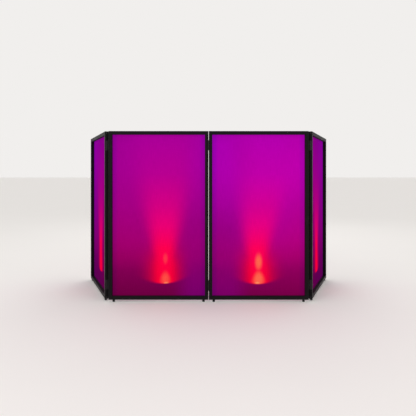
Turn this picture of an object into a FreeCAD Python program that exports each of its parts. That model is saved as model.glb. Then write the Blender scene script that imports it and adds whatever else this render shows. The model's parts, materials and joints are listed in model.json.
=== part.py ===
import FreeCAD
import Part
import math
import os

from FreeCAD import Placement, Rotation, Vector

# Folding booth front: four square-tube frames with cloth scrims, hinged edge to edge.
# Two frames stand side by side across the front and a wing is swung back at each end.
# Every piece is modelled with the four frames in one flat row, front faces on Y = 0.
# The wings are then swung to their standing angle and the whole part is centred.
# Lengths are millimetres, angles degrees, +Z is up and the audience stands at -Y.

# Frame tube
panel_width = 712.0
panel_height = 1203.0
tube_side = 25.0
tube_wall = 1.5
tube_corner_radius = 2.0

# Standing pose
wing_fold = 67.0

# End caps of the stiles
cap_flange = 4.0
cap_screw_room = 0.5
cap_edge_chamfer = 0.8
cap_clearance = 0.15

# Corner joint: a block in each rail end takes the screw that comes through the stile
plug_length = 30.0
plug_clearance = 0.1
frame_screw_radius = 3.0
frame_screw_head_radius = 5.6
frame_screw_bite = 20.0
frame_screw_socket_radius = 2.3
frame_screw_socket_depth = 2.2

# Feet
foot_height = 16.0
foot_top_radius = 9.5
foot_bottom_radius = 8.6
foot_edge_radius = 1.0
foot_edge_room = 0.5
foot_recess_room = 1.0
foot_recess_depth = 8.0
foot_screw_radius = 2.0
foot_screw_head_radius = 4.0
foot_screw_head_height = 2.6
foot_screw_room = 2.5
foot_screw_socket_radius = 1.5
foot_screw_socket_depth = 1.4

# Scrim and the hook tape that holds it on the back of the frame
tape_width = 18.0
tape_thickness = 1.6
tape_end_gap = 1.0
scrim_margin = 5.0
scrim_thickness = 1.0

# Hinges: the leaves lie between two stiles and the barrel stands clear of the frame face
hinge_height = 70.0
hinge_inset = 102.0
leaf_thickness = 1.2
leaf_clearance = 0.4
leaf_edge_margin = 3.0
barrel_radius = 3.6
barrel_room = 1.4
barrel_clearance = 0.4
knuckle_count = 5
knuckle_gap = 0.4
pin_radius = 2.0
pin_clearance = 0.06
pin_head_radius = 3.2
pin_head_height = 1.2
hinge_screw_radius = 2.0
hinge_screw_length = 8.0
hinge_screw_margin = 11.0
hinge_screw_count = 3
hinge_screw_socket_radius = 1.25
hinge_screw_socket_depth = 0.9

# Room round a screw in its hole
screw_clearance = 0.05

# Places worked out from the sizes above
panel_gap = 2.0 * leaf_thickness + leaf_clearance
panel_pitch = panel_width + panel_gap
frame_bottom = foot_height
frame_top = foot_height + panel_height
tube_middle = tube_side / 2.0
bottom_rail_axis = frame_bottom + tube_middle
top_rail_axis = frame_top - tube_middle
foot_inset = tube_side + foot_top_radius + foot_edge_room
frame_screw_inside = max(frame_screw_radius, frame_screw_head_radius - tube_wall - cap_clearance)
cap_plug_depth = tube_middle - cap_flange - frame_screw_inside - cap_screw_room
frame_screw_length = tube_side + frame_screw_bite
foot_recess_radius = foot_screw_head_radius + foot_recess_room
foot_screw_bite = tube_middle - tube_wall - frame_screw_radius - foot_screw_room
pin_standoff = barrel_radius + barrel_room
hinge_screw_head_radius = hinge_screw_radius + leaf_thickness
hinge_screw_pitch = (hinge_height - 2.0 * hinge_screw_margin) / (hinge_screw_count - 1)
hinge_heights = (frame_bottom + hinge_inset, frame_top - hinge_inset)

PANELS = ("left_wing", "left_front", "right_front", "right_wing")
EDGES = ("rear", "corner", "centre", "corner", "rear")
X_AXIS = Vector(1, 0, 0)
Z_AXIS = Vector(0, 0, 1)


# Basic shapes

def slab(x_a, x_b, y_a, y_b, z_a, z_b):
    """Box between two corners, given in any order along each axis."""
    low = Vector(min(x_a, x_b), min(y_a, y_b), min(z_a, z_b))
    return Part.makeBox(abs(x_b - x_a), abs(y_b - y_a), abs(z_b - z_a), low)


def square_bar(side, length, corner_radius):
    """Square bar with rounded long edges, centred on the Z axis and standing on Z = 0."""
    bar = slab(-side / 2, side / 2, -side / 2, side / 2, 0, length)
    long_edges = [edge for edge in bar.Edges if abs(edge.tangentAt(edge.FirstParameter).z) > 0.99]
    return bar.makeFillet(corner_radius, long_edges)


def square_tube(length):
    """Frame tube standing on Z = 0 with its middle on the Z axis."""
    inner_radius = max(tube_corner_radius - tube_wall, tube_corner_radius / 4)
    inner = square_bar(tube_side - 2 * tube_wall, length, inner_radius)
    return square_bar(tube_side, length, tube_corner_radius).cut(inner)


def placed(shape, point, direction=Z_AXIS):
    """Copy of a shape with its Z axis turned to a direction and its origin moved to a point."""
    copy = shape.copy()
    copy.Placement = Placement(point, Rotation(Z_AXIS, direction))
    return copy


def rod(point, direction, radius, length):
    """Round rod from a point along a direction."""
    return Part.makeCylinder(radius, length, point, direction)


def hex_socket(radius, depth):
    """Six-sided key recess from Z = 0 upwards, radius measured to the corners."""
    corners = []
    for step in range(6):
        angle = math.radians(60 * step)
        corners.append(Vector(radius * math.cos(angle), radius * math.sin(angle), 0))
    corners.append(corners[0])
    return Part.Face(Part.makePolygon(corners)).extrude(Vector(0, 0, depth))


def countersunk_body(head_radius, shank_radius, length):
    """Right-angled countersunk head, flat at Z = 0, with its shank along +Z."""
    head = Part.makeCone(head_radius, shank_radius, head_radius - shank_radius)
    return head.fuse(Part.makeCylinder(shank_radius, length)).removeSplitter()


def countersunk_screw(head_radius, shank_radius, length, socket_radius, socket_depth):
    """Countersunk screw with a hexagon socket."""
    body = countersunk_body(head_radius, shank_radius, length)
    return body.cut(hex_socket(socket_radius, socket_depth))


# Panel pieces, in one panel's own frame: X from its left edge, Y from its front face

def frame_screw_seats():
    """Point and direction of the four corner screws of a panel."""
    seats = []
    for height in (bottom_rail_axis, top_rail_axis):
        seats.append((Vector(0, tube_middle, height), X_AXIS))
        seats.append((Vector(panel_width, tube_middle, height), -X_AXIS))
    return seats


def frame_screw_holes():
    """Clearance shapes of the four corner screws."""
    hole = countersunk_body(
        frame_screw_head_radius + screw_clearance,
        frame_screw_radius + screw_clearance,
        frame_screw_length + screw_clearance,
    )
    return [placed(hole, point, direction) for point, direction in frame_screw_seats()]


def foot_centres():
    """Plan positions of the two feet."""
    return [Vector(foot_inset, tube_middle, 0), Vector(panel_width - foot_inset, tube_middle, 0)]


def foot_screw_holes():
    """Clearance shapes of the two foot screws, above the feet."""
    radius = foot_screw_radius + screw_clearance
    length = tube_wall + foot_screw_bite + screw_clearance
    return [rod(centre + Vector(0, 0, frame_bottom), Z_AXIS, radius, length) for centre in foot_centres()]


def hinge_screw_heights():
    """Heights of the screws of one leaf, for both hinges of a joint."""
    middle = (hinge_screw_count - 1) / 2
    offsets = [(step - middle) * hinge_screw_pitch for step in range(hinge_screw_count)]
    return [height + offset for height in hinge_heights for offset in offsets]


def stile(at_left, hinged):
    """Full-height tube with holes for its two corner screws and any hinge screws."""
    length = panel_height - 2 * cap_flange
    middle_x = tube_middle if at_left else panel_width - tube_middle
    tube = placed(square_tube(length), Vector(middle_x, tube_middle, frame_bottom + cap_flange))
    tube = tube.cut(frame_screw_holes())
    if hinged:
        edge_x = 0 if at_left else panel_width
        inward = X_AXIS if at_left else -X_AXIS
        radius = hinge_screw_radius + screw_clearance
        for height in hinge_screw_heights():
            tube = tube.cut(rod(Vector(edge_x, tube_middle, height), inward, radius, tube_wall * 2))
    return tube


def rail(height):
    """Cross tube between the two stiles with its axis at a height."""
    length = panel_width - 2 * tube_side
    return placed(square_tube(length), Vector(tube_side, tube_middle, height), X_AXIS)


def rail_plugs():
    """Blocks in the four rail ends, bored for the corner screws and the foot screws."""
    block = square_bar(
        tube_side - 2 * tube_wall - 2 * plug_clearance,
        plug_length,
        max(tube_corner_radius - tube_wall, tube_corner_radius / 4),
    )
    plugs = []
    for point, direction in frame_screw_seats():
        plug = placed(block, point + direction * tube_side, direction)
        plugs.append(plug.cut(frame_screw_holes() + foot_screw_holes()))
    return plugs


def frame_screws():
    """Countersunk screws through the stiles into the rail plugs."""
    screw = countersunk_screw(
        frame_screw_head_radius,
        frame_screw_radius,
        frame_screw_length,
        frame_screw_socket_radius,
        frame_screw_socket_depth,
    )
    return [placed(screw, point, direction) for point, direction in frame_screw_seats()]


def end_caps():
    """Moulded caps in the four stile ends, flush with the rails."""
    flange = square_bar(tube_side, cap_flange, tube_corner_radius)
    rim = [edge for edge in flange.Edges if abs(edge.CenterOfMass.z) < 0.001]
    flange = flange.makeChamfer(cap_edge_chamfer, rim)
    core_side = tube_side - 2 * tube_wall - 2 * cap_clearance
    core = square_bar(core_side, cap_flange + cap_plug_depth, tube_corner_radius / 4)
    core = core.common(slab(-tube_side, tube_side, -tube_side, tube_side, cap_flange / 2, panel_height))
    cap = flange.fuse(core).removeSplitter()
    caps = []
    for middle_x in (tube_middle, panel_width - tube_middle):
        caps.append(placed(cap, Vector(middle_x, tube_middle, frame_bottom)))
        caps.append(placed(cap, Vector(middle_x, tube_middle, frame_top), -Z_AXIS))
    return caps


def feet():
    """Tapered rubber feet with a recess for the screw head."""
    cone = Part.makeCone(foot_bottom_radius, foot_top_radius, foot_height)
    rim = [edge for edge in cone.Edges if edge.Closed and abs(edge.CenterOfMass.z) < 0.001]
    cone = cone.makeFillet(foot_edge_radius, rim)
    cone = cone.cut(Part.makeCylinder(foot_recess_radius, foot_recess_depth))
    cone = cone.cut(Part.makeCylinder(foot_screw_radius + screw_clearance, foot_height))
    return [placed(cone, centre) for centre in foot_centres()]


def foot_screws():
    """Cap screws that hold the feet, heads up in the recess."""
    head = Part.makeCylinder(foot_screw_head_radius, foot_screw_head_height)
    shank_length = foot_screw_head_height + foot_height - foot_recess_depth + tube_wall + foot_screw_bite
    screw = head.fuse(Part.makeCylinder(foot_screw_radius, shank_length)).removeSplitter()
    screw = screw.cut(hex_socket(foot_screw_socket_radius, foot_screw_socket_depth))
    lift = Vector(0, 0, foot_recess_depth - foot_screw_head_height)
    return [placed(screw, centre + lift) for centre in foot_centres()]


def hook_tape():
    """Four strips of hook tape down the middle of the frame's back face."""
    back = tube_side
    outer = tube_side + tape_thickness
    low = frame_bottom + scrim_margin
    high = frame_top - scrim_margin
    half = tape_width / 2
    strips = []
    for middle_x in (tube_middle, panel_width - tube_middle):
        strips.append(slab(middle_x - half, middle_x + half, back, outer, low, high))
    start = tube_middle + half + tape_end_gap
    for height in (bottom_rail_axis, top_rail_axis):
        strips.append(slab(start, panel_width - start, back, outer, height - half, height + half))
    return strips


def scrim():
    """Cloth stretched over the back of the frame."""
    front = tube_side + tape_thickness
    return slab(
        scrim_margin, panel_width - scrim_margin,
        front, front + scrim_thickness,
        frame_bottom + scrim_margin, frame_top - scrim_margin,
    )


def bottom_rail():
    """Lower cross tube, drilled for the foot screws."""
    return rail(bottom_rail_axis).cut(foot_screw_holes())


# Hinges, with X = 0 midway between the two stiles

def pin_depth(behind):
    """Y of the pin axis, behind the back faces or before the front faces."""
    return tube_side + pin_standoff if behind else -pin_standoff


def hinge_leaf(side, knuckles, behind, middle_z):
    """One leaf: a plate on a stile, with its share of the knuckles round the pin.

    side is -1 for the left stile and +1 for the right one.
    """
    pin_y = pin_depth(behind)
    toward_pin = 1 if behind else -1
    far_y = leaf_edge_margin if behind else tube_side - leaf_edge_margin
    plate_end = pin_y - toward_pin * (barrel_radius + barrel_clearance)
    outer_x = side * panel_gap / 2
    inner_x = outer_x - side * leaf_thickness
    low = middle_z - hinge_height / 2
    leaf = slab(outer_x, inner_x, far_y, plate_end, low, low + hinge_height)
    knuckle_height = (hinge_height - (knuckle_count - 1) * knuckle_gap) / knuckle_count
    for index in knuckles:
        start = low + index * (knuckle_height + knuckle_gap)
        neck = slab(outer_x, inner_x, tube_middle, pin_y, start, start + knuckle_height)
        barrel = rod(Vector(0, pin_y, start), Z_AXIS, barrel_radius, knuckle_height)
        leaf = leaf.fuse([neck, barrel])
    leaf = leaf.cut(rod(Vector(0, pin_y, low), Z_AXIS, pin_radius + pin_clearance, hinge_height))
    return leaf.removeSplitter()


def hinge_screw_seats(side):
    """Point and direction of the screws through the leaves on one stile."""
    inner_x = side * leaf_clearance / 2
    return [(Vector(inner_x, tube_middle, height), X_AXIS * side) for height in hinge_screw_heights()]


def hinge_leaves(side, knuckles, behind):
    """Upper and lower leaf on one stile, drilled for their screws."""
    hole = countersunk_body(
        hinge_screw_head_radius + screw_clearance,
        hinge_screw_radius + screw_clearance,
        hinge_screw_length,
    )
    holes = [placed(hole, point, direction) for point, direction in hinge_screw_seats(side)]
    return [hinge_leaf(side, knuckles, behind, height).cut(holes) for height in hinge_heights]


def hinge_screws(side):
    """Countersunk screws of the leaves on one stile."""
    screw = countersunk_screw(
        hinge_screw_head_radius,
        hinge_screw_radius,
        hinge_screw_length,
        hinge_screw_socket_radius,
        hinge_screw_socket_depth,
    )
    return [placed(screw, point, direction) for point, direction in hinge_screw_seats(side)]


def hinge_pins(behind):
    """Headed pins of the upper and lower hinge."""
    pins = []
    for height in hinge_heights:
        foot = Vector(0, pin_depth(behind), height - hinge_height / 2 - pin_head_height)
        head = Vector(0, pin_depth(behind), height + hinge_height / 2)
        pin = rod(foot, Z_AXIS, pin_radius, hinge_height + 2 * pin_head_height)
        ends = [rod(end, Z_AXIS, pin_head_radius, pin_head_height) for end in (foot, head)]
        pins.append(pin.fuse(ends).removeSplitter())
    return pins


# Assembly: each node's solids, still in the flat row, listed under the panel that carries them

def shifted(shapes, shift):
    """Copies of shapes moved by a vector."""
    return [shape.translated(shift) for shape in shapes]


def panel_left(index):
    """X of a panel's left edge in the flat row."""
    return (index - 2) * panel_pitch + panel_gap / 2


def hinge_line(index):
    """X of the line between panel index and the next one."""
    return (index - 1) * panel_pitch


def panel_nodes(index):
    """Nodes of one panel's frame, scrim and screws."""
    name = PANELS[index]
    left_edge, right_edge = EDGES[index], EDGES[index + 1]
    screws = []
    if index > 0:
        screws += shifted(hinge_screws(1), Vector(hinge_line(index - 1) - panel_left(index), 0, 0))
    if index < len(PANELS) - 1:
        screws += shifted(hinge_screws(-1), Vector(hinge_line(index) - panel_left(index), 0, 0))
    pieces = {
        f"{left_edge}_stile": [stile(True, index > 0)],
        f"{right_edge}_stile": [stile(False, index < len(PANELS) - 1)],
        "top_rail": [rail(top_rail_axis)],
        "bottom_rail": [bottom_rail()],
        "rail_plugs": rail_plugs(),
        "frame_screws": frame_screws(),
        "end_caps": end_caps(),
        "feet": feet(),
        "foot_screws": foot_screws(),
        "hook_tape": hook_tape(),
        "scrim": [scrim()],
        "hinge_screws": screws,
    }
    shift = Vector(panel_left(index), 0, 0)
    return {f"{name}_{piece}": shifted(solids, shift) for piece, solids in pieces.items()}


def hinge_nodes(index, names, carriers, behind):
    """Nodes of the two hinges between panel index and the next one.

    names are the labels of the left and right leaves. The first carrier holds the pins and
    the outer knuckles, and carriers are given as panel indices.
    """
    joint = ("left_corner_hinge", "centre_hinge", "right_corner_hinge")[index]
    shift = Vector(hinge_line(index), 0, 0)
    outer = range(0, knuckle_count, 2)
    inner = range(1, knuckle_count, 2)
    nodes = {}
    for side, label, panel in ((-1, names[0], index), (1, names[1], index + 1)):
        share = outer if panel == carriers[0] else inner
        leaves = hinge_leaves(side, share, behind)
        nodes[f"{joint}_{label}_leaves"] = (panel, shifted(leaves, shift))
    nodes[f"{joint}_pins"] = (carriers[0], shifted(hinge_pins(behind), shift))
    return nodes


def wing_swing(index):
    """Placement that swings a panel from the flat row to its standing place."""
    if index == 0:
        line, angle = hinge_line(0), -wing_fold
    elif index == len(PANELS) - 1:
        line, angle = hinge_line(2), wing_fold
    else:
        return Placement()
    pivot = Vector(line, pin_depth(True), 0)
    return Placement(Vector(), Rotation(Z_AXIS, angle), pivot)


def standing(shape, index):
    """A panel's shape swung to its standing place."""
    return shape.transformed(wing_swing(index).toMatrix())


def assemble():
    """All nodes in the standing pose, as compounds of solids, before centring."""
    flat = {}
    for index in range(len(PANELS)):
        for node, solids in panel_nodes(index).items():
            flat[node] = (index, solids)
    flat.update(hinge_nodes(0, ("wing", "front"), (1, 0), True))
    flat.update(hinge_nodes(1, ("left", "right"), (1, 2), False))
    flat.update(hinge_nodes(2, ("front", "wing"), (2, 3), True))
    nodes = {}
    for node, (index, solids) in flat.items():
        nodes[node] = [standing(solid, index) for solid in solids]
    return nodes


def overall_box(nodes):
    """Box round every solid."""
    box = FreeCAD.BoundBox()
    for solids in nodes.values():
        for solid in solids:
            box.add(solid.optimalBoundingBox(False, False))
    return box


def centre_shift(box):
    """Vector that puts the middle of the box's base on the origin."""
    return Vector(-(box.XMin + box.XMax) / 2, -(box.YMin + box.YMax) / 2, -box.ZMin)


def report(box, shift):
    """Print the overall size, the pin axes and the feet of the finished part."""
    print(f"size {box.XLength:.3f} {box.YLength:.3f} {box.ZLength:.3f}")
    print(f"shift {shift.x:.4f} {shift.y:.4f} {shift.z:.4f}")
    for index, joint in enumerate(("left_wing_fold", "centre_fold", "right_wing_fold")):
        pivot = Vector(hinge_line(index), pin_depth(index != 1), 0) + shift
        print(f"pin {joint} {pivot.x:.4f} {pivot.y:.4f}")
    for index, name in enumerate(PANELS):
        for side, centre in zip(("left", "right"), foot_centres()):
            spot = wing_swing(index).multVec(centre + Vector(panel_left(index), 0, 0)) + shift
            print(f"foot {name} {side} {spot.x:.4f} {spot.y:.4f}")


def main():
    """Build every node, centre the part and write one file per node."""
    nodes = assemble()
    box = overall_box(nodes)
    shift = centre_shift(box)
    os.makedirs("parts", exist_ok=True)
    for node, solids in nodes.items():
        Part.makeCompound(shifted(solids, shift)).exportStep(f"parts/{node}.step")
    report(box, shift)


main()
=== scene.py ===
"""Looks of a folding booth front: four hinged tube frames with stretched cloth scrims.

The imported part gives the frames, hinges, feet and screws, and this script gives them their finishes.
The cloth, its hem and stitching and the hook tape are surfaces worked out on grids in each panel's
own axes, and every new piece rides on its panel.  Lengths are metres unless a name says otherwise.
"""

import json
import logging
import math
from abc import ABC, abstractmethod
from dataclasses import dataclass, replace
from enum import Enum

import bpy
import numpy as np
from mathutils import Matrix, Vector

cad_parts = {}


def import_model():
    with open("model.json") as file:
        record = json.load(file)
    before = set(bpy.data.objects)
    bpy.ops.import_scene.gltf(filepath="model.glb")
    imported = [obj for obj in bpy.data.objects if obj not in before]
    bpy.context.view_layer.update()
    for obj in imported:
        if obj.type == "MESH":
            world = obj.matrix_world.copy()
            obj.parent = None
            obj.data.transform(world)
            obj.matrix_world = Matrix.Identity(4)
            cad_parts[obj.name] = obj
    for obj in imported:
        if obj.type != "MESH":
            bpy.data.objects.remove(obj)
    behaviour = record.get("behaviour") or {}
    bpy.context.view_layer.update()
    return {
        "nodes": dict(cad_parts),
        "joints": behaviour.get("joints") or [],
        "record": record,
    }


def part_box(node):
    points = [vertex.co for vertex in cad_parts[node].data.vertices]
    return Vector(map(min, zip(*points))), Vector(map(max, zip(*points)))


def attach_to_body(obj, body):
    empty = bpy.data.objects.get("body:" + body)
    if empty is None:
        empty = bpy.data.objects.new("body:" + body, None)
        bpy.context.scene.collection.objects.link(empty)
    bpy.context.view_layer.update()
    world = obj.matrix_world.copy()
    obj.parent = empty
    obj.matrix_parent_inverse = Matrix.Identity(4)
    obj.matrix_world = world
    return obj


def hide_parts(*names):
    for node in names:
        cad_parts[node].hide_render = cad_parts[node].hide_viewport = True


LOG = logging.getLogger("booth_front")
MM = 0.001
# Where most values of a noise texture lie
NOISE_SPAN = (0.3, 0.7)

Array = np.ndarray
Colour = tuple[float, float, float, float]
Inputs = dict[str | int, object]
Material = bpy.types.Material
Piece = bpy.types.Object
Place = tuple[float, float, float]
Span = tuple[float, float]
Stops = tuple[tuple[float, str], ...]


class Slot(Enum):
    """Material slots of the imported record."""

    FRAME = "frame_black"
    CAP = "cap_plastic"
    PLUG = "plug_nylon"
    SCREW = "screw_black"
    FOOT = "foot_rubber"
    TAPE = "hook_tape"
    SCRIM = "scrim_cloth"
    HINGE = "hinge_steel"


class PanelName(Enum):
    """The four panels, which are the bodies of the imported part, from left to right."""

    LEFT_WING = "left_wing"
    LEFT_FRONT = "left_front"
    RIGHT_FRONT = "right_front"
    RIGHT_WING = "right_wing"


class CoolSide(Enum):
    """Edge of a scrim, seen from the front, towards which its tint turns violet."""

    LEFT = -1
    RIGHT = 1


# Helpers for numbers, meshes and nodes


def srgb(code: str) -> Colour:
    """Turn an sRGB hex value into a linear colour.

    Args:
        code: Six hex digits after a hash, such as "#1a2b3c".

    Returns:
        Linear red, green, blue and an alpha of one.
    """
    parts = [int(code[i:i + 2], 16) / 255 for i in (1, 3, 5)]
    linear = [c / 12.92 if c <= 0.04045 else ((c + 0.055) / 1.055) ** 2.4 for c in parts]
    return (linear[0], linear[1], linear[2], 1.0)


def per_mm(size_mm: float) -> float:
    """Return the texture scale at which one feature measures size_mm."""
    return 1.0 / (size_mm * MM)


def smooth_step(span: Span, value: Array) -> Array:
    """Ease from 0 at the span's first value to 1 at its second along the cubic 3t^2 - 2t^3."""
    t = np.clip((value - span[0]) / (span[1] - span[0]), 0.0, 1.0)
    return t * t * (3.0 - 2.0 * t)


def graded_lines(ends: Span, fine: Span, coarse_pitch: float, fine_pitch: float) -> Array:
    """Place grid lines with a coarse pitch at both ends and a fine one between.

    Args:
        ends: First and last line.
        fine: Where the fine stretch starts and stops.
        coarse_pitch: Spacing outside the fine stretch.
        fine_pitch: Spacing inside it.

    Returns:
        Rising line positions, with an extra line close to each end that keeps the rim crisp.
    """
    rim = 1.0 * MM
    micrometre_digits = 6
    stops = (ends[0] + rim, *fine, ends[1] - rim)
    pitches = (coarse_pitch, fine_pitch, coarse_pitch)
    runs = [
        np.linspace(start, stop, max(2, round((stop - start) / pitch) + 1))
        for start, stop, pitch in zip(stops[:-1], stops[1:], pitches)
    ]
    return np.unique(np.concatenate([ends[:1], *runs, ends[1:]]).round(micrometre_digits))


def grid_faces(rows: int, columns: int, wrap_rows: bool = False, wrap_columns: bool = False) -> Array:
    """List the quads of a grid of points stored row by row.

    Args:
        rows: Points along the first parameter.
        columns: Points along the second parameter.
        wrap_rows: Join the last row to the first.
        wrap_columns: Join the last column to the first.

    Returns:
        An array of four point indices per quad.
    """
    row = np.arange(rows if wrap_rows else rows - 1)[:, None]
    column = np.arange(columns if wrap_columns else columns - 1)[None, :]
    next_row = (row + 1) % rows
    next_column = (column + 1) % columns
    corners = (
        row * columns + column,
        row * columns + next_column,
        next_row * columns + next_column,
        next_row * columns + column,
    )
    return np.stack(np.broadcast_arrays(*corners), axis=-1).reshape(-1, 4)


def repeat_faces(faces: Array, copies: int, points_each: int) -> Array:
    """List the faces of equal shells whose points follow each other, points_each to a shell."""
    offsets = np.arange(copies) * points_each
    return (faces[None, :, :] + offsets[:, None, None]).reshape(-1, faces.shape[1])


def outward(points: Array, faces: Array) -> Array:
    """Turn the quads of closed shells so that their signed volume is positive.

    The volume is the sum over both triangles of each quad of a . (b x c) / 6.

    Args:
        points: Point coordinates.
        faces: Quads, all turned the same way.

    Returns:
        The quads, reversed if they pointed inwards.
    """
    a, b, c, d = (points.reshape(-1, 3)[faces[:, i]] for i in range(4))
    six_volumes = (a * np.cross(b, c)).sum() + (a * np.cross(c, d)).sum()
    return faces if six_volumes > 0 else faces[:, ::-1]


def make_piece(name: str, points: Array, faces: Array, smooth: bool = True) -> Piece:
    """Put points and faces into a new object at the origin.

    Args:
        name: Name of the piece.
        points: Point coordinates in the part's frame.
        faces: Point indices of each face.
        smooth: Shade the faces smoothly.

    Returns:
        The new object, linked into the scene.
    """
    mesh = bpy.data.meshes.new(name)
    mesh.from_pydata(points.reshape(-1, 3), [], faces)
    mesh.polygons.foreach_set("use_smooth", np.full(len(mesh.polygons), smooth))
    mesh.update()
    piece = bpy.data.objects.new(name, mesh)
    bpy.context.scene.collection.objects.link(piece)
    return piece


def add_field(piece: Piece, name: str, values: Array) -> None:
    """Store one number per point of a piece, in the order of its points, for its material to read."""
    layer = piece.data.attributes.new(name, "FLOAT", "POINT")
    layer.data.foreach_set("value", values.astype(np.float32).ravel())


class Nodes:
    """The shader nodes of one material or world."""

    def __init__(self, owner: Material | bpy.types.World) -> None:
        """Start with the owner's node tree, cleared."""
        owner.use_nodes = True
        self.tree: bpy.types.NodeTree = owner.node_tree
        self.tree.nodes.clear()

    def add(self, kind: str, inputs: Inputs | None = None, stops: Stops = (),
            **settings: object) -> bpy.types.Node:
        """Add a node with its settings, values and links.

        Args:
            kind: Blender's name of the node type, without the "ShaderNode" that it starts with.
            inputs: For each input, by number or by its name among those in use: a value, a socket to
                link, or a node whose first output in use is linked.  From and To are spans, which set
                the inputs for their least and most.
            stops: Positions and hex colours of a colour ramp.
            settings: Attributes of the node.

        Returns:
            The new node.
        """
        node = self.tree.nodes.new(f"ShaderNode{kind}")
        for key, value in settings.items():
            setattr(node, key, value)
        for index, (position, code) in enumerate(stops):
            elements = node.color_ramp.elements
            element = elements[index] if index < len(elements) else elements.new(position)
            element.position = position
            element.color = srgb(code)
        values = dict(inputs or {})
        for key in {"From", "To"} & values.keys():
            values[f"{key} Min"], values[f"{key} Max"] = values.pop(key)
        for key, value in values.items():
            sockets = [socket for socket in node.inputs if socket.enabled and socket.name == key]
            target = sockets[0] if sockets else node.inputs[key]
            if isinstance(value, bpy.types.Node):
                value = next(output for output in value.outputs if output.enabled)
            if isinstance(value, bpy.types.NodeSocket):
                self.tree.links.new(value, target)
            else:
                target.default_value = value
        return node


# Finishes


class Finish(ABC):
    """A finish that one material draws: a pattern that feeds one Principled shader."""

    name: str

    @abstractmethod
    def pattern(self, nodes: Nodes) -> Inputs:
        """Add the pattern's nodes and return the shader's inputs."""

    def material(self) -> Material:
        """Make the material.

        Returns:
            A new material with the pattern, the shader and the output.
        """
        material = bpy.data.materials.new(self.name)
        nodes = Nodes(material)
        shader = nodes.add("BsdfPrincipled", self.pattern(nodes))
        nodes.add("OutputMaterial", {"Surface": shader})
        return material


@dataclass(frozen=True)
class PowderCoat(Finish):
    """Semi-gloss black powder coat on drawn steel tube.

    The cured powder leaves a faint orange peel that softens reflections.  Handling leaves greyer
    scuffs, rubs the rounded tube edges to a paler grey and leaves a little floor dust low down.
    """

    name: str
    turn: float
    colour: str = "#0a090b"
    scuff: str = "#19181a"
    rubbed: str = "#302e30"
    dust: str = "#181617"
    roughness: Span = (0.42, 0.58)
    specular: float = 0.12
    peel_mm: float = 1.6
    scuff_mm: float = 9.0
    patch_mm: float = 140.0
    dust_heights: Span = (0.09, 0.0)
    dust_shares: Span = (0.0, 0.5)
    scuff_span: Span = (0.31, 0.42)
    edge_span: Span = (0.985, 0.88)
    rub_span: Span = (0.48, 0.64)

    def pattern(self, nodes: Nodes) -> Inputs:
        """Add the coat's nodes.

        The edge mask compares the surface's direction with the tube's own square axes, which are
        turned about the vertical by turn: it is 0 on the flats and 1 on the rounded edges.

        Args:
            nodes: Nodes of the new material.

        Returns:
            The shader's inputs.
        """
        source = nodes.add("TexCoord").outputs
        place = source["Object"]
        peel = nodes.add("TexNoise", {"Vector": place, "Scale": per_mm(self.peel_mm), "Detail": 2.0})
        marks = nodes.add(
            "TexNoise", {"Vector": place, "Scale": per_mm(self.scuff_mm), "Detail": 6.0, "Roughness": 0.75})
        patches = nodes.add("TexNoise", {"Vector": place, "Scale": per_mm(self.patch_mm), "Detail": 3.0})
        worn = nodes.add("Math", {0: marks, 1: patches}, operation="MULTIPLY")
        scuffs = nodes.add("MapRange", {"Value": worn, "From": self.scuff_span})
        squared = nodes.add(
            "VectorRotate", {"Vector": source["Normal"], "Angle": -self.turn}, rotation_type="Z_AXIS")
        facing = nodes.add("VectorMath", {"Vector": squared}, operation="ABSOLUTE")
        axes = nodes.add("SeparateXYZ", {"Vector": facing}).outputs
        level = nodes.add("Math", {0: axes["X"], 1: axes["Y"]}, operation="MAXIMUM")
        flatness = nodes.add("Math", {0: level, 1: axes["Z"]}, operation="MAXIMUM")
        edge = nodes.add("MapRange", {"Value": flatness, "From": self.edge_span})
        touched = nodes.add("Math", {0: edge, 1: marks}, operation="MULTIPLY")
        rubs = nodes.add("MapRange", {"Value": touched, "From": self.rub_span})
        height = nodes.add("SeparateXYZ", {"Vector": place}).outputs["Z"]
        low = nodes.add("MapRange", {"Value": height, "From": self.dust_heights, "To": self.dust_shares})
        tint = srgb(self.colour)
        for share, colour in ((scuffs, self.scuff), (low, self.dust), (rubs, self.rubbed)):
            tint = nodes.add("Mix", {"Factor": share, "A": tint, "B": srgb(colour)}, data_type="RGBA")
        rough = nodes.add("MapRange", {"Value": patches, "From": NOISE_SPAN, "To": self.roughness})
        bump = nodes.add("Bump", {"Height": peel, "Strength": 0.25, "Distance": 0.2 * MM})
        return {"Base Color": tint, "Roughness": rough, "Specular IOR Level": self.specular, "Normal": bump}


@dataclass(frozen=True)
class MouldedBlack(Finish):
    """Black moulded polymer with the fine spark texture of its tool.

    Caps and plugs are hard and slightly satin, rubber is duller and takes up dust.
    """

    name: str
    colour: str
    bloom: str
    roughness: Span
    specular: float
    grain_mm: float
    depth_mm: float
    cloud_grains: float = 14.0
    cloud_span: Span = (0.45, 0.7)
    bloom_shares: Span = (0.0, 0.6)

    def pattern(self, nodes: Nodes) -> Inputs:
        """Add the polymer's nodes: the tool's grain and broader clouds of dust.

        Args:
            nodes: Nodes of the new material.

        Returns:
            The shader's inputs.
        """
        place = nodes.add("TexCoord").outputs["Object"]
        grain = nodes.add("TexNoise", {"Vector": place, "Scale": per_mm(self.grain_mm), "Detail": 3.0})
        cloud_mm = self.grain_mm * self.cloud_grains
        cloud = nodes.add("TexNoise", {"Vector": place, "Scale": per_mm(cloud_mm), "Detail": 4.0})
        share = nodes.add("MapRange", {"Value": cloud, "From": self.cloud_span, "To": self.bloom_shares})
        tint = nodes.add(
            "Mix", {"Factor": share, "A": srgb(self.colour), "B": srgb(self.bloom)}, data_type="RGBA")
        rough = nodes.add("MapRange", {"Value": cloud, "From": NOISE_SPAN, "To": self.roughness})
        bump = nodes.add("Bump", {"Height": grain, "Strength": 0.4, "Distance": self.depth_mm * MM})
        return {"Base Color": tint, "Roughness": rough, "Specular IOR Level": self.specular, "Normal": bump}


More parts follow.
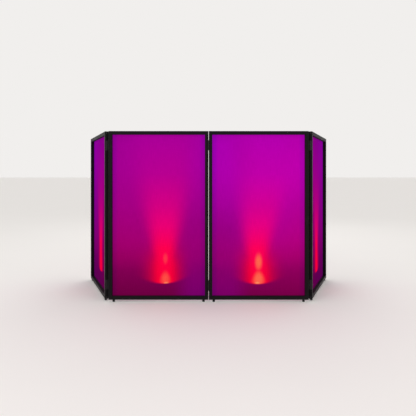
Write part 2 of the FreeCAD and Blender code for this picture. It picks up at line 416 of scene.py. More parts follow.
@dataclass(frozen=True)
class CoatedSteel(Finish):
    """Pressed or turned steel under a thin black coat that rubs through to bright metal.

    The coat is dark and half matt, and the rubbed places show steel.
    """

    name: str
    colour: str
    rub_span: Span
    bright: str = "#8d8a88"
    roughness: Span = (0.38, 0.52)
    specular: float = 0.35
    rub_mm: float = 3.5

    def pattern(self, nodes: Nodes) -> Inputs:
        """Add the coat's nodes: one noise rubs it through and roughens it.

        Args:
            nodes: Nodes of the new material.

        Returns:
            The shader's inputs.
        """
        place = nodes.add("TexCoord").outputs["Object"]
        rub = nodes.add(
            "TexNoise", {"Vector": place, "Scale": per_mm(self.rub_mm), "Detail": 5.0, "Roughness": 0.7})
        bare = nodes.add("MapRange", {"Value": rub, "From": self.rub_span})
        tint = nodes.add(
            "Mix", {"Factor": bare, "A": srgb(self.colour), "B": srgb(self.bright)}, data_type="RGBA")
        rough = nodes.add("MapRange", {"Value": rub, "From": NOISE_SPAN, "To": self.roughness})
        bump = nodes.add("Bump", {"Height": rub, "Strength": 0.2, "Distance": 0.05 * MM})
        return {"Base Color": tint, "Metallic": bare, "Roughness": rough,
                "Specular IOR Level": self.specular, "Normal": bump}


@dataclass(frozen=True)
class HookPile(Finish):
    """Woven nylon hook tape: dull black, with a nap of small hooks that scatters light."""

    name: str = "woven_nylon_hook_tape"
    colour: str = "#0c0c0d"
    nap: str = "#252426"
    hook_mm: float = 1.2

    def pattern(self, nodes: Nodes) -> Inputs:
        """Add the tape's nodes: one cell for each hook.

        Args:
            nodes: Nodes of the new material.

        Returns:
            The shader's inputs.
        """
        place = nodes.add("TexCoord").outputs["Object"]
        hooks = nodes.add("TexVoronoi", {"Vector": place, "Scale": per_mm(self.hook_mm)})
        tint = nodes.add(
            "Mix", {"Factor": hooks, "A": srgb(self.colour), "B": srgb(self.nap)}, data_type="RGBA")
        bump = nodes.add("Bump", {"Height": hooks, "Strength": 0.7, "Distance": 0.4 * MM})
        return {"Base Color": tint, "Roughness": 0.85, "Specular IOR Level": 0.25,
                "Sheen Weight": 0.3, "Normal": bump}


@dataclass(frozen=True)
class StretchKnit(Finish):
    """White warp-knit scrim with painted light: the painted glow of light from behind it, a magenta wash
    with a red fan rising from its foot.

    The cloth is matt and white.  Its painted wash darkens towards the floor and turns violet towards
    one edge, and the painted fan runs from magenta at its top to red and pale painted hot spots at its
    base.  The side hems carry painted shade, with less red.  All of each colour is painted light:
    about a third is laid into the base colour and the rest glows as emission.
    """

    name: str = "stretch_knit_scrim"
    # Painted light: colours of the wash and of the fan by share of height
    wash: Stops = (
        (0.00, "#6c0040"), (0.16, "#800052"), (0.25, "#980062"), (0.34, "#a20070"),
        (0.57, "#a40085"), (0.80, "#a50093"), (1.00, "#9e0094"),
    )
    fan: Stops = (
        (0.12, "#ff003a"), (0.30, "#fe0050"), (0.43, "#eb0074"), (0.55, "#d50082"),
        (0.75, "#b80092"), (1.00, "#aa009b"),
    )
    # Painted light: the flare, the violet tint, the pale hot spots and the brightest glints
    flare: str = "#e80034"
    violet: str = "#b400f0"
    spot: str = "#ff7050"
    spark: str = "#ffb070"
    # Painted shade in the side hems, as gains of red, green and blue
    doubled: Colour = (0.86, 1.0, 1.03, 1.0)
    glow_share: float = 0.68
    wale_mm: float = 7.0
    course_mm: float = 5.0
    yarn_run_mm: float = 60.0
    course_share: float = 0.5
    knit_span: Span = (0.5, 1.0)
    knit_gains: Span = (0.95, 1.05)

    def pattern(self, nodes: Nodes) -> Inputs:
        """Add the cloth's nodes, which read the fields that its points carry.

        The knit's wales and courses are about 1 mm wide, too fine to show, so their streaks are drawn
        at wale_mm and course_mm.

        Args:
            nodes: Nodes of the new material.

        Returns:
            The shader's inputs.
        """
        field = {
            key: nodes.add("Attribute", attribute_name=key).outputs["Fac"]
            for key in ("rise", "level", "flare", "fan", "cool", "spot", "spark", "lift", "hem")
        }
        # Painted light: the wash and fan by height, then the flare, violet, hot spots and glints
        wash = nodes.add("ValToRGB", {"Fac": field["rise"]}, self.wash)
        fan = nodes.add("ValToRGB", {"Fac": field["rise"]}, self.fan)
        tint = nodes.add("VectorMath", {"Vector": wash, "Scale": field["level"]}, operation="SCALE")
        layers = {
            "flare": srgb(self.flare),
            "fan": fan,
            "cool": srgb(self.violet),
            "spot": srgb(self.spot),
            "spark": srgb(self.spark),
        }
        for key, colour in layers.items():
            tint = nodes.add("Mix", {"Factor": field[key], "A": tint, "B": colour}, data_type="RGBA")
        # Painted shade over the side hems
        hemmed = nodes.add("Mix", {"Factor": field["hem"], "A": tint, "B": self.doubled},
                           data_type="RGBA", blend_type="MULTIPLY")
        cloth = nodes.add("UVMap", uv_map="cloth")
        streaks = []
        for size in ((self.wale_mm, self.yarn_run_mm, 1.0), (self.yarn_run_mm, self.course_mm, 1.0)):
            scale = [per_mm(length) for length in size]
            drawn = nodes.add("Mapping", {"Vector": cloth, "Scale": scale})
            streaks.append(nodes.add("TexNoise", {"Vector": drawn, "Scale": 1.0, "Detail": 2.0}))
        wales, courses = streaks
        knit = nodes.add("Math", {0: courses, 1: self.course_share, 2: wales}, operation="MULTIPLY_ADD")
        shade = nodes.add("MapRange", {"Value": knit, "From": self.knit_span, "To": self.knit_gains})
        gain = nodes.add("Math", {0: shade, 1: field["lift"]}, operation="MULTIPLY")
        lit = nodes.add("VectorMath", {"Vector": hemmed, "Scale": gain}, operation="SCALE")
        # The base colour is the same painted light, scaled down, not the white cloth's own colour
        own = nodes.add("VectorMath", {"Vector": lit, "Scale": 1.0 - self.glow_share}, operation="SCALE")
        bump = nodes.add("Bump", {"Height": knit, "Strength": 0.15, "Distance": 0.2 * MM})
        return {"Base Color": own, "Roughness": 0.9, "Specular IOR Level": 0.0,
                "Emission Color": lit, "Emission Strength": self.glow_share, "Normal": bump}


@dataclass(frozen=True)
class SewingThread(Finish):
    """Twisted polyester thread with painted light: white thread that glows with the painted wash of the
    cloth at its height, a little paler.
    """

    name: str = "polyester_sewing_thread"
    # Painted light: the wash colours low and high on the cloth
    low: str = "#7c1854"
    high: str = "#b41ea0"
    twist_mm: float = 0.8
    twist_gains: Span = (0.4, 0.7)
    glow_share: float = 0.5

    def pattern(self, nodes: Nodes) -> Inputs:
        """Add the thread's nodes, which read the height that its points carry.

        Args:
            nodes: Nodes of the new material.

        Returns:
            The shader's inputs.
        """
        rise = nodes.add("Attribute", attribute_name="rise").outputs["Fac"]
        tint = nodes.add(
            "Mix", {"Factor": rise, "A": srgb(self.low), "B": srgb(self.high)}, data_type="RGBA")
        place = nodes.add("TexCoord").outputs["Object"]
        twist = nodes.add("TexNoise", {"Vector": place, "Scale": per_mm(self.twist_mm)})
        shade = nodes.add("MapRange", {"Value": twist, "To": self.twist_gains})
        # The base colour is the same painted light, darkened by the twist, not the white thread's own
        # colour
        own = nodes.add("VectorMath", {"Vector": tint, "Scale": shade}, operation="SCALE")
        return {"Base Color": own, "Roughness": 0.65, "Specular IOR Level": 0.1,
                "Emission Color": tint, "Emission Strength": self.glow_share}


@dataclass(frozen=True)
class StudioPaint(Finish):
    """Rolled matt floor paint: pale, with broad faint clouds from the roller."""

    name: str = "painted_studio_floor"
    colour: str = "#efedeb"
    cloud: str = "#f1efed"
    cloud_mm: float = 900.0

    def pattern(self, nodes: Nodes) -> Inputs:
        """Add the paint's nodes: one noise that clouds its colour.

        Args:
            nodes: Nodes of the new material.

        Returns:
            The shader's inputs.
        """
        place = nodes.add("TexCoord").outputs["Object"]
        clouds = nodes.add("TexNoise", {"Vector": place, "Scale": per_mm(self.cloud_mm), "Detail": 2.0})
        tint = nodes.add(
            "Mix", {"Factor": clouds, "A": srgb(self.colour), "B": srgb(self.cloud)}, data_type="RGBA")
        return {"Base Color": tint, "Roughness": 0.75, "Specular IOR Level": 0.2}


FINISHES: dict[Slot, Finish] = {
    Slot.CAP: MouldedBlack(
        name="moulded_polyethylene_cap", colour="#0a0a0b", bloom="#161517",
        roughness=(0.45, 0.58), specular=0.35, grain_mm=0.5, depth_mm=0.08),
    Slot.PLUG: MouldedBlack(
        name="moulded_nylon_plug", colour="#141415", bloom="#232324",
        roughness=(0.40, 0.53), specular=0.4, grain_mm=0.6, depth_mm=0.05),
    Slot.FOOT: MouldedBlack(
        name="moulded_rubber_foot", colour="#0c0b0c", bloom="#272425",
        roughness=(0.65, 0.78), specular=0.25, grain_mm=0.7, depth_mm=0.12),
    Slot.SCREW: CoatedSteel(name="black_oxide_screw_steel", colour="#151517", rub_span=(0.66, 0.78)),
    Slot.HINGE: CoatedSteel(name="black_coated_hinge_steel", colour="#111013", rub_span=(0.62, 0.74)),
    Slot.TAPE: HookPile(),
    Slot.SCRIM: StretchKnit(),
}


# Panels and their pieces


@dataclass(frozen=True)
class Panel:
    """Stance and sizes of one panel.

    The stance places a point of the panel, given as its distance from the left edge, its depth behind
    the front face and its height above the floor.
    """

    name: PanelName
    stance: Matrix
    width: float
    bottom: float
    top: float
    tube: float
    cloth_front: float

    @property
    def turn(self) -> float:
        """Angle of the panel about the vertical, seen from above."""
        return math.atan2(self.stance[1][0], self.stance[0][0])

    def place(self, across: Array, depth: Array, height: Array) -> Array:
        """Place panel coordinates in the part's frame.

        Args:
            across: Distance from the left edge.
            depth: Distance behind the front face.
            height: Height above the floor.

        Returns:
            Points, with their coordinates on a new last axis.
        """
        points = np.stack(np.broadcast_arrays(across, depth, height), axis=-1)
        stance = np.array(self.stance)
        return points @ stance[:3, :3].T + stance[:3, 3]

    def lay(self, start: tuple[Array, Array], upright: Array, run: Array,
            beside: Array, depth: Array) -> Array:
        """Place a section that is carried along straight runs on the panel.

        A run goes up where upright is true and to the right elsewhere.  What lies beside a run is to
        its right, so that all the runs have the same hand.

        Args:
            start: Distance from the left edge and height where each run starts.
            upright: Which runs go up.
            run: Distance along the run.
            beside: Distance to the right of the run.
            depth: Distance behind the front face.

        Returns:
            Points, with their coordinates on a new last axis.
        """
        across = start[0] + np.where(upright, beside, run)
        height = start[1] + np.where(upright, run, -beside)
        return self.place(across, depth, height)


def read_panels(frame: dict) -> list[Panel]:
    """Work out each panel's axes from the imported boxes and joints.

    The panels hang edge to edge at the pitch of the hinges.  Each wing joint's least angle is the
    flat row, so a wing stands turned back from the row by that angle about its pin.


    Returns:
        The four panels from left to right.
    """
    stile_low, stile_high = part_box("left_front_corner_stile")
    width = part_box("left_front_centre_stile")[1].x - stile_low.x
    joints = {joint["name"]: joint for joint in frame["joints"]}
    middle = joints["centre_fold"]["pos_m"][0]
    pitch = middle - joints["left_wing_fold"]["pos_m"][0]
    panels = []
    for place, name in enumerate(PanelName, start=-len(PanelName) // 2):
        turn = Matrix.Identity(4)
        hinge = joints.get(f"{name.value}_fold")
        if hinge:
            pin = Matrix.Translation(Vector(hinge["pos_m"]))
            angle = math.radians(-hinge["range_deg"][0])
            turn = pin @ Matrix.Rotation(angle, 4, Vector(hinge["axis"])) @ pin.inverted()
        left_edge = middle + place * pitch + (pitch - width) / 2
        panels.append(Panel(
            name=name,
            stance=turn @ Matrix.Translation((left_edge, stile_low.y, 0.0)),
            width=width,
            bottom=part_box("left_front_bottom_rail")[0].z,
            top=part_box("left_front_top_rail")[1].z,
            tube=stile_high.y - stile_low.y,
            cloth_front=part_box("left_front_scrim")[0].y - stile_low.y,
        ))
    return panels


def attach(piece: Piece, material: Material, panel: Panel) -> None:
    """Dress a new piece and let it ride on its panel.

    Args:
        piece: The piece.
        material: Its material.
        panel: The panel that carries it.
    """
    piece.data.materials.append(material)
    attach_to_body(piece, panel.name.value)
    LOG.info("%s: %d faces in %s", piece.name, len(piece.data.polygons), material.name)


def dress_packed(frame: dict, panels: list[Panel], materials: dict[Slot, Material]) -> None:
    """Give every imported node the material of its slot, and each panel's tubes their own coat.

    Args:
        panels: The four panels.
        materials: Materials of all the slots but the tubes'.
    """
    coats = {
        panel.name.value: PowderCoat(f"powder_coated_steel_{panel.name.value}", panel.turn).material()
        for panel in panels
    }
    for part in frame["record"]["subparts"]:
        slot = Slot(part["material_slot"])
        body = next((name for name in coats if part["node"].startswith(name)), None)
        material = coats[body] if slot is Slot.FRAME else materials[slot]
        node = frame["nodes"][part["node"]]
        node.data.materials.clear()
        node.data.materials.append(material)
        LOG.info("%s: packed node in %s", part["node"], material.name)


@dataclass(frozen=True)
class PaintedHotSpot:
    """Painted hot spot in a glow: a soft bell of painted light that splay widens downwards.

    Its strength is exp(-q^power).  Here q is the square of the distance beside it over its half-width
    plus the square of the height above it over its half-height.
    """

    height: float
    half_width: float
    half_height: float
    share: float
    beside: float = 0.0
    splay: float = 0.0
    widths: Span = (0.3, 2.0)
    power: float = 1.6

    def strength(self, x: Array, z: Array) -> Array:
        """Work out the spot's strength.

        Args:
            x: Distance right of the glow's foot.
            z: Height above the floor.

        Returns:
            Strength from 0 to the spot's share.
        """
        above = (z - self.height) / self.half_height
        wide = self.half_width * np.clip(1.0 - self.splay * above, *self.widths)
        apart = ((x - self.beside) / wide) ** 2 + above ** 2
        return self.share * np.exp(-(apart ** self.power))


@dataclass(frozen=True)
class Glow:
    """Painted light that comes through one scrim, as fields over place and height.

    A painted fan of light rises from a foot: exp(-(|x|/w)^fan_power) across, where the half-width w is
    even up to the waist and then grows in a straight line.  A wider painted flare,
    exp(-(|x|/w)^flare_power), lies beside its foot, and both end below on a shallow arc, the edge of a
    painted shadow.  Away from the fan the painted wash turns violet on one side, most near the floor
    and the top, and dips darker there at middle height, and it may be violet all over.  Everything may
    turn violet with height, least at the other side's edge, and be lifted brighter at the top, there
    or all across.  A rise is a height as a share of the cloth's.
    """

    centre: float
    cool: CoolSide
    level: Span
    # Fan and flare
    strength: float = 1.0
    waist: float = 0.066
    waist_height: float = 0.315
    widening: float = 0.22
    fan_power: float = 3.2
    fade: float = 0.0
    fade_from_rise: float = 0.31
    sway: float = -0.006
    sway_heights: Span = (0.13, 0.36)
    lean: float = 0.0
    lean_heights: Span = (0.36, 0.95)
    flare_width: float = 0.115
    flare_heights: Span = (0.47, 0.22)
    flare_power: float = 2.4
    # Arc below them
    arc_height: float = 0.123
    arc_tilt: float = 0.015
    arc_bend: float = 1.13
    arc_blur: float = 0.006
    arc_blur_growth: float = 0.25
    arc_blur_span: Span = (-0.25, 0.75)
    # Violet, dip and lift of the wash
    beside_span: Span = (0.03, 0.21)
    cool_all: float = 0.0
    cool_side: float = 0.025
    cool_low: float = 0.05
    cool_low_rises: Span = (0.35, 0.0)
    cool_high: float = 0.04
    cool_high_rises: Span = (0.6, 0.95)
    cool_top: float = 0.0
    cool_top_rises: Span = (0.15, 1.0)
    cool_top_sides: Span = (-1.0, -0.3)
    cool_top_least: float = 0.3
    dip: float = 0.0
    dip_rise: float = 0.4
    dip_reach: float = 0.2
    lift: float = 0.0
    lift_rises: Span = (0.5, 0.75)
    lift_sides: Span = (0.5, -0.1)
    spots: tuple[PaintedHotSpot, ...] = ()
    sparks: tuple[PaintedHotSpot, ...] = ()

    def above_arc(self, x: Array, z: Array) -> Array:
        """Work out what lies above the arc, a tilted parabola that blurs away from its middle.

        Args:
            x: Distance right of the fan's foot.
            z: Height above the floor.

        Returns:
            Share from 0 below the arc to 1 above it.
        """
        # Below the arc lies painted shadow: the painted fan, flare and hot spots stop there
        arc = self.arc_height + self.arc_tilt * x + self.arc_bend * x * x
        blur = self.arc_blur + self.arc_blur_growth * np.abs(x)
        return smooth_step(self.arc_blur_span, (z - arc) / blur)

    def fan_and_flare(self, x: Array, z: Array, rise: Array) -> tuple[Array, Array]:
        """Work out the fan and its flare, whose middle line sways and leans with height.

        Args:
            x: Distance right of the fan's foot.
            z: Height above the floor.
            rise: Height as a share of the cloth.

        Returns:
            Shares of the fan and of the flare, from 0 to 1.
        """
        sway = self.sway * smooth_step(self.sway_heights, z)
        lean = self.lean * smooth_step(self.lean_heights, z)
        off = np.abs(x - sway - lean)
        reach = self.strength * self.above_arc(x, z)
        wide = self.waist + self.widening * np.maximum(z - self.waist_height, 0.0)
        fading = np.clip(1.0 - self.fade * (rise - self.fade_from_rise), 0.0, 1.0)
        fan = reach * fading * np.exp(-((off / wide) ** self.fan_power))
        low = smooth_step(self.flare_heights, z)
        flare = reach * low * np.exp(-((off / self.flare_width) ** self.flare_power))
        return fan, flare

    def fields(self, x: Array, z: Array, rise: Array, side: Array) -> dict[str, Array]:
        """Work out the fields that the cloth's material reads.

        Args:
            x: Distance right of the fan's foot.
            z: Height above the floor.
            rise: Height as a share of the cloth.
            side: Place across the cloth, -1 at the left to 1 at the right.

        Returns:
            Arrays of numbers by field name: shares from 0 to 1, but gains for level and lift.
        """
        fan, flare = self.fan_and_flare(x, z, rise)
        above = self.above_arc(x, z)
        cool_side = side * self.cool.value
        beside = smooth_step(self.beside_span, x * self.cool.value)
        low = self.cool_low * smooth_step(self.cool_low_rises, rise)
        high = self.cool_high * smooth_step(self.cool_high_rises, rise)
        wash = 1.0 - np.maximum(fan, flare)
        edge = wash * (self.cool_all + beside * (self.cool_side + low + high))
        least = self.cool_top_least
        across = least + (1.0 - least) * smooth_step(self.cool_top_sides, cool_side)
        top = self.cool_top * across * smooth_step(self.cool_top_rises, rise)
        dip = self.dip * beside * np.exp(-(((rise - self.dip_rise) / self.dip_reach) ** 2))
        lift = self.lift * smooth_step(self.lift_sides, cool_side) * smooth_step(self.lift_rises, rise)
        # Painted brightness of the wash from the left edge to the right, darkened by the dip
        left, right = self.level
        dark = np.zeros_like(x)
        return {
            "rise": rise,
            "level": (left + (right - left) * (side + 1.0) / 2.0) * (1.0 - dip),
            "flare": flare,
            "fan": fan,
            "cool": edge + top,
            "lift": 1.0 + lift,
            # Painted hot spots and glints, only above the arc
            "spot": above * np.maximum.reduce([dark, *(spot.strength(x, z) for spot in self.spots)]),
            "spark": above * np.maximum.reduce([dark, *(spark.strength(x, z) for spark in self.sparks)]),
        }


# Painted light on each scrim, by panel
LEFT_WING_GLOW = Glow(
    centre=0.375, cool=CoolSide.LEFT, level=(0.49, 0.70), strength=0.85, waist=0.055, fade=1.6,
    flare_width=0.08, arc_height=0.148, beside_span=(-0.2, 0.4), cool_all=0.042, cool_side=0.04,
    cool_low=0.0, cool_high=0.12, cool_high_rises=(0.05, 0.6),
    lift=0.2, lift_rises=(0.5, 0.95), lift_sides=(2.0, 1.5))
GLOWS: dict[PanelName, Glow] = {
    PanelName.LEFT_WING: LEFT_WING_GLOW,
    PanelName.LEFT_FRONT: Glow(
        centre=0.400, cool=CoolSide.RIGHT, level=(1.0, 1.03), arc_height=0.125, arc_tilt=0.04,
        cool_side=0.06, dip=0.16,
        spots=(
            PaintedHotSpot(height=0.305, half_width=0.015, half_height=0.034, share=0.20, beside=0.003),
            PaintedHotSpot(
                height=0.160, half_width=0.030, half_height=0.044, share=0.48, beside=0.003, splay=0.2),
        ),
        sparks=(PaintedHotSpot(height=0.131, half_width=0.016, half_height=0.007, share=0.47, beside=0.009),)),
    PanelName.RIGHT_FRONT: Glow(
        centre=0.3555, cool=CoolSide.LEFT, level=(1.10, 1.26), lean=0.045, arc_height=0.121,
        cool_side=0.045, cool_top=0.125, cool_top_rises=(0.1, 0.75), dip=0.25, lift=0.11,
        spots=(
            PaintedHotSpot(height=0.280, half_width=0.022, half_height=0.050, share=0.85, beside=0.002),
            PaintedHotSpot(
                height=0.160, half_width=0.034, half_height=0.048, share=0.90, beside=0.002, splay=0.25),
        ),
        sparks=(PaintedHotSpot(height=0.131, half_width=0.016, half_height=0.007, share=0.54, beside=-0.007),)),
    PanelName.RIGHT_WING: replace(
        LEFT_WING_GLOW, centre=0.356, cool=CoolSide.RIGHT, level=(0.71, 0.46), arc_height=0.137, lift=0.15),
}


@dataclass(frozen=True)
class HookTape:
    """Hook tape along the back of one frame: a woven web with rows of hooks along it."""

    panel: Panel
    width: float = 0.018
    web: float = 0.0006
    rows_of_hooks: int = 8
    points_per_row: int = 6
    steps: int = 40

    def build(self, material: Material) -> Piece:
        """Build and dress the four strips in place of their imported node.

        They are one section carried along each member: a flat web whose back rises in rounded ridges,
        the absolute sine of the place across it, up to the cloth.  They lie on the middle of each tube
        and butt at the corners.

        Args:
            material: Material of the tape.

        Returns:
            All four strips as one mesh of closed shells.
        """
        panel = self.panel
        middle = panel.tube / 2
        inner = middle + self.width / 2
        outer = middle - self.width / 2
        start_x = np.array([middle, panel.width - middle, inner, inner])
        start_z = np.array([outer, outer, middle, panel.top - panel.bottom - middle]) + panel.bottom
        upright = np.array([True, True, False, False])[:, None, None]
        length = np.where(upright, panel.top - panel.bottom - 2 * outer, panel.width - 2 * inner)
        share = np.linspace(0, 1, self.points_per_row * self.rows_of_hooks + 1)
        hook_height = panel.cloth_front - panel.tube - self.web
        ridges = self.web + hook_height * np.abs(np.sin(np.pi * share * self.rows_of_hooks))
        beside = (np.concatenate([share, share[::-1]]) - 0.5) * self.width
        depth = panel.tube + np.concatenate([ridges, np.zeros_like(ridges)])
        run = np.linspace(0, 1, self.steps)[None, :, None] * length
        start = (start_x[:, None, None], start_z[:, None, None])
        points = panel.lay(start, upright, run, beside, depth)
        ring = beside.size
        cross = np.arange(share.size - 1)[:, None]
        first_end = np.concatenate([ring - 1 - cross, ring - 2 - cross, cross + 1, cross], axis=1)
        last_end = first_end[:, ::-1] + (self.steps - 1) * ring
        shell = np.concatenate([grid_faces(self.steps, ring, wrap_columns=True), first_end, last_end])
        faces = repeat_faces(shell, start_x.size, self.steps * ring)
        name = f"{panel.name.value}_hook_tape"
        tape = make_piece(f"{name}_strips", points, outward(points, faces), smooth=False)
        attach(tape, material, panel)
        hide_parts(name)
        return tape


@dataclass(frozen=True)
class Scrim:
    """One stretched scrim with its turned hem and two rows of stitching.

    The cloth is made smaller than it hangs by its stretch, and the hem is its turned edge behind it.
    """

    panel: Panel
    glow: Glow
    margin: float = 0.005
    stretch: float = 0.03
    thickness: float = 0.0006
    hem_width: float = 0.047
    # Where the painted shade of the side hems sets in, as distances from the side edges
    hem_shade: Span = (0.050, 0.046)
    hem_steps: int = 48
    hem_bend_points: int = 5
    stitch_rows: Span = (0.037, 0.0445)
    stitch_length: float = 0.0032
    stitch_pitch: float = 0.0045
    stitch_width: float = 0.0007
    stitch_proud: float = 0.0003
    stitch_stations: tuple[float, ...] = (-0.5, -0.28, 0.28, 0.5)
    stitch_taper: tuple[float, ...] = (0.35, 1.0, 1.0, 0.35)
    stitch_ring: int = 6
    drag: float = 0.0009
    drag_wave: float = 0.055
    drag_reach: float = 0.11
    coarse_pitch: float = 0.014
    fine_pitch: float = 0.004
    fine_reach: float = 0.19
    fine_heights: Span = (0.081, 0.36)

    @property
    def half_width(self) -> float:
        """Half the hung width."""
        return self.panel.width / 2 - self.margin

    @property
    def low(self) -> float:
        """Height of the lower edge."""
        return self.panel.bottom + self.margin

    @property
    def high(self) -> float:
        """Height of the upper edge."""
        return self.panel.top - self.margin

    @property
    def middle_depth(self) -> float:
        """Depth of the cloth's middle layer behind the frame's front; its face lies on the tape."""
        return self.panel.cloth_front + self.thickness / 2

    @property
    def foot(self) -> float:
        """Distance of the glow's foot right of the panel's middle."""
        return self.glow.centre - self.panel.width / 2

    @property
    def cut(self) -> Span:
        """Width and length of the cloth before it is stretched on."""
        return (2 * self.half_width / (1 + self.stretch), (self.high - self.low) / (1 + self.stretch))

    def share_of_height(self, z: Array) -> Array:
        """Height as a share of the cloth, 0 at its lower edge and 1 at its upper one."""
        return (z - self.low) / (self.high - self.low)

    def colour_fields(self, piece: Piece, x: Array, z: Array) -> None:
        """Give a piece of cloth its fields and a UV map in metres.

        Args:
            piece: The piece.
            x: Distance right of the panel's middle, one per point.
            z: Height, one per point.
        """
        # The fields carry the painted light, and hem adds painted shade over the side hems
        fields = self.glow.fields(x - self.foot, z, self.share_of_height(z), x / self.half_width)
        fields["hem"] = smooth_step(self.hem_shade, self.half_width - np.abs(x))
        for name, values in fields.items():
            add_field(piece, name, values)
        corners = np.zeros(len(piece.data.loops), np.int32)
        piece.data.loops.foreach_get("vertex_index", corners)
        flat = np.stack([x.ravel(), z.ravel()], axis=-1)[corners]
        piece.data.uv_layers.new(name="cloth").data.foreach_set("uv", flat.astype(np.float32).ravel())

    def cloth(self) -> Piece:
        """Build the sheet as a grid over width and height.

        The face is flat apart from faint drag lines at the corners: cosine waves along each diagonal
        that die off exponentially with distance from the corner and stop short of the hem.

        Returns:
            The cloth with its fields, thickened to both sides.
        """
        half = self.half_width
        fine_columns = (self.foot - self.fine_reach, self.foot + self.fine_reach)
        columns = graded_lines((-half, half), fine_columns, self.coarse_pitch, self.fine_pitch)
        rows = graded_lines((self.low, self.high), self.fine_heights, self.coarse_pitch, self.fine_pitch)
        x, z = np.meshgrid(columns, rows)
        to_side = half - np.abs(x)
        to_end = np.minimum(z - self.low, self.high - z)
        waves = np.cos((to_side - to_end) * 2 * np.pi / self.drag_wave)
        pull = self.drag * waves * np.exp(-np.hypot(to_side, to_end) / self.drag_reach)
        free = smooth_step((self.hem_width, 2 * self.hem_width), np.minimum(to_side, to_end))
        points = self.panel.place(x + self.panel.width / 2, self.middle_depth + pull * free, z)
        name = f"{self.panel.name.value}_scrim_cloth"
        piece = make_piece(name, points, grid_faces(rows.size, columns.size))
        self.colour_fields(piece, x, z)
        thick = piece.modifiers.new("cloth_thickness", "SOLIDIFY")
        thick.thickness = self.thickness
        thick.offset = 0.0
        return piece

    def hem(self) -> Piece:
        """Build the turned edge as a rounded strip carried round the outline with mitred corners.

        The strip's section is a flat stadium.  Each of its points keeps its distance inwards from the
        outline, so the path through it is the outline's rectangle drawn in by that distance.

        Returns:
            The hem, lying on the back of the cloth.
        """
        half_height = (self.high - self.low) / 2
        side = np.linspace(-1, 1, self.hem_steps, endpoint=False)
        end = np.ones_like(side)
        u = np.concatenate([side, end, -side, -end])[:, None]
        v = np.concatenate([-end, side, end, -side])[:, None]
        round_off = self.thickness / 2
        bend = np.linspace(-np.pi / 2, np.pi / 2, self.hem_bend_points)
        bulge = round_off * np.cos(bend)
        inwards = np.concatenate([self.hem_width - round_off + bulge, round_off - bulge])
        behind = round_off * np.concatenate([np.sin(bend), -np.sin(bend)])
        x = u * (self.half_width - inwards)
        z = (self.high + self.low) / 2 + v * (half_height - inwards)
        depth = self.middle_depth + self.thickness + behind
        points = self.panel.place(x + self.panel.width / 2, depth, z)
        faces = grid_faces(u.size, inwards.size, wrap_rows=True, wrap_columns=True)
        piece = make_piece(f"{self.panel.name.value}_scrim_hem", points, outward(points, faces))
        self.colour_fields(piece, x, z)
        return piece

    def seam_places(self) -> Array:
        """List where the stitches lie: both rows step along each side by the pitch.

        Returns:
            One row per stitch: distance from the panel's left edge, height, and 1 where it is upright.
        """
        places = []
        for inset in self.stitch_rows:
            left, low = self.margin + inset, self.low + inset
            right, high = self.panel.width - left, self.high - inset
            across = np.arange(left, right, self.stitch_pitch)
            upward = np.arange(low, high, self.stitch_pitch)
            seams = ((across, low, 0), (across, high, 0), (left, upward, 1), (right, upward, 1))
            places += [np.stack(np.broadcast_arrays(*seam), axis=-1) for seam in seams]
        return np.concatenate(places)

    def stitches(self) -> Piece:
        """Build both rows of stitches as one mesh of small spindles.

        A spindle is an ellipse of six points carried along the seam and drawn in towards both ends,
        deep enough to show on both sides of the doubled cloth.  Two quads close each end.

        Returns:
            The stitches.
        """
        seam_x, seam_z, upright = (column[:, None, None] for column in self.seam_places().T)
        angle = np.linspace(0, 2 * np.pi, self.stitch_ring, endpoint=False)
        run = np.array(self.stitch_stations)[:, None] * self.stitch_length
        taper = np.array(self.stitch_taper)[:, None]
        beside = taper * np.cos(angle) * self.stitch_width / 2
        doubled_middle = self.middle_depth + self.thickness / 2
        depth = doubled_middle + taper * np.sin(angle) * (self.thickness + self.stitch_proud)
        points = self.panel.lay((seam_x, seam_z), upright > 0, run, beside, depth)
        first_end = np.array([[3, 2, 1, 0], [5, 4, 3, 0]])
        last_end = first_end[:, ::-1] + (run.size - 1) * angle.size
        sides = grid_faces(run.size, angle.size, wrap_columns=True)
        faces = repeat_faces(np.concatenate([sides, first_end, last_end]), seam_x.size, beside.size)
        piece = make_piece(f"{self.panel.name.value}_scrim_stitches", points, outward(points, faces))
        add_field(piece, "rise", self.share_of_height(points[..., 2]))
        return piece

    def build(self, knit: Material, thread: Material, tape: Piece) -> None:
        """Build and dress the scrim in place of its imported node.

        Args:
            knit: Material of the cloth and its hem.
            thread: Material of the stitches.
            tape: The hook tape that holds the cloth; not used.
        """
        cloth = self.cloth()
        hem = self.hem()
        stitches = self.stitches()
        for piece, material in ((cloth, knit), (hem, knit), (stitches, thread)):
            attach(piece, material, self.panel)
        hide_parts(f"{self.panel.name.value}_scrim")


# Studio


@dataclass(frozen=True)
class Softbox:
    """A square area lamp that looks at the middle of the part."""

    name: str
    place: Place
    power: float
    side: float = 3.0
    aim: Place = (0.0, 0.0, 0.6)

    def build(self) -> None:
        """Add the lamp to the scene, turned towards its aim."""
        data = bpy.data.lights.new(self.name, "AREA")
        data.size = self.side
        data.energy = self.power
        lamp = bpy.data.objects.new(self.name, data)
        lamp.location = self.place
        look = Vector(self.aim) - Vector(self.place)
        lamp.rotation_euler = look.to_track_quat("-Z", "Y").to_euler()
        bpy.context.scene.collection.objects.link(lamp)


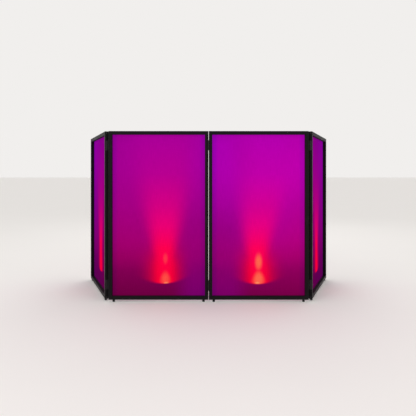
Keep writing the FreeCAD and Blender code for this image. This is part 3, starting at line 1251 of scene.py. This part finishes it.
@dataclass(frozen=True)
class Studio:
    """Pale floor, soft light and the photograph's camera.

    The camera is level and its sensor is shifted to put the horizon on the photograph's row.
    """

    photo_pixels: int = 416
    focal_pixels: float = 436.1
    horizon_row: float = 176.55
    camera_distance: float = 3.107
    camera_height: float = 0.8944
    camera_side: float = -0.0043
    sensor_mm: float = 36.0
    floor_reach: float = 400.0
    floor_lines: int = 17
    sky_colour: str = "#f1efed"
    sky_light: float = 1.0
    lamps: tuple[Softbox, ...] = (
        Softbox("key_softbox", (-2.6, -4.2, 3.4), 42.0),
        Softbox("fill_softbox", (3.0, -4.0, 2.4), 18.0),
        Softbox("back_softbox", (0.5, 4.0, 3.6), 30.0),
    )

    def camera(self, front: float) -> None:
        """Set up the scene's camera.

        Args:
            front: Where the front faces of the two fronts lie along Y.
        """
        data = bpy.data.cameras.new("photo_camera")
        data.sensor_width = self.sensor_mm
        data.lens = self.focal_pixels / self.photo_pixels * self.sensor_mm
        data.shift_y = (self.horizon_row - self.photo_pixels / 2) / self.photo_pixels
        camera = bpy.data.objects.new("photo_camera", data)
        camera.location = (self.camera_side, front - self.camera_distance, self.camera_height)
        camera.rotation_euler = (math.radians(90), 0, 0)
        bpy.context.scene.collection.objects.link(camera)
        bpy.context.scene.camera = camera

    def floor(self) -> None:
        """Lay a wide flat square, a grid whose lines follow a cube and so crowd towards its middle."""
        line = self.floor_reach * np.linspace(-1, 1, self.floor_lines) ** 3
        x, y = np.meshgrid(line, line)
        points = np.stack([x, y, np.zeros_like(x)], axis=-1)
        floor = make_piece("studio_floor", points, grid_faces(self.floor_lines, self.floor_lines))
        floor.data.materials.append(StudioPaint().material())

    def light(self) -> None:
        """Light the part softly from both sides of its front and from behind, under a pale sky."""
        world = bpy.data.worlds.new("studio_sky")
        nodes = Nodes(world)
        sky = nodes.add("Background", {"Color": srgb(self.sky_colour), "Strength": self.sky_light})
        nodes.add("OutputWorld", {"Surface": sky})
        bpy.context.scene.world = world
        for lamp in self.lamps:
            lamp.build()


def main() -> None:
    """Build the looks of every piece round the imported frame, then the studio."""
    logging.basicConfig(level=logging.INFO, format="%(name)s: %(message)s")
    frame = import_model()
    bpy.context.scene.view_settings.view_transform = "Standard"
    panels = read_panels(frame)
    materials = {slot: finish.material() for slot, finish in FINISHES.items()}
    thread = SewingThread().material()
    dress_packed(frame, panels, materials)
    for panel in panels:
        tape = HookTape(panel).build(materials[Slot.TAPE])
        Scrim(panel, GLOWS[panel.name]).build(materials[Slot.SCRIM], thread, tape)
    studio = Studio()
    studio.floor()
    studio.light()
    studio.camera(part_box("left_front_corner_stile")[0].y)


if __name__ == "__main__":
    main()
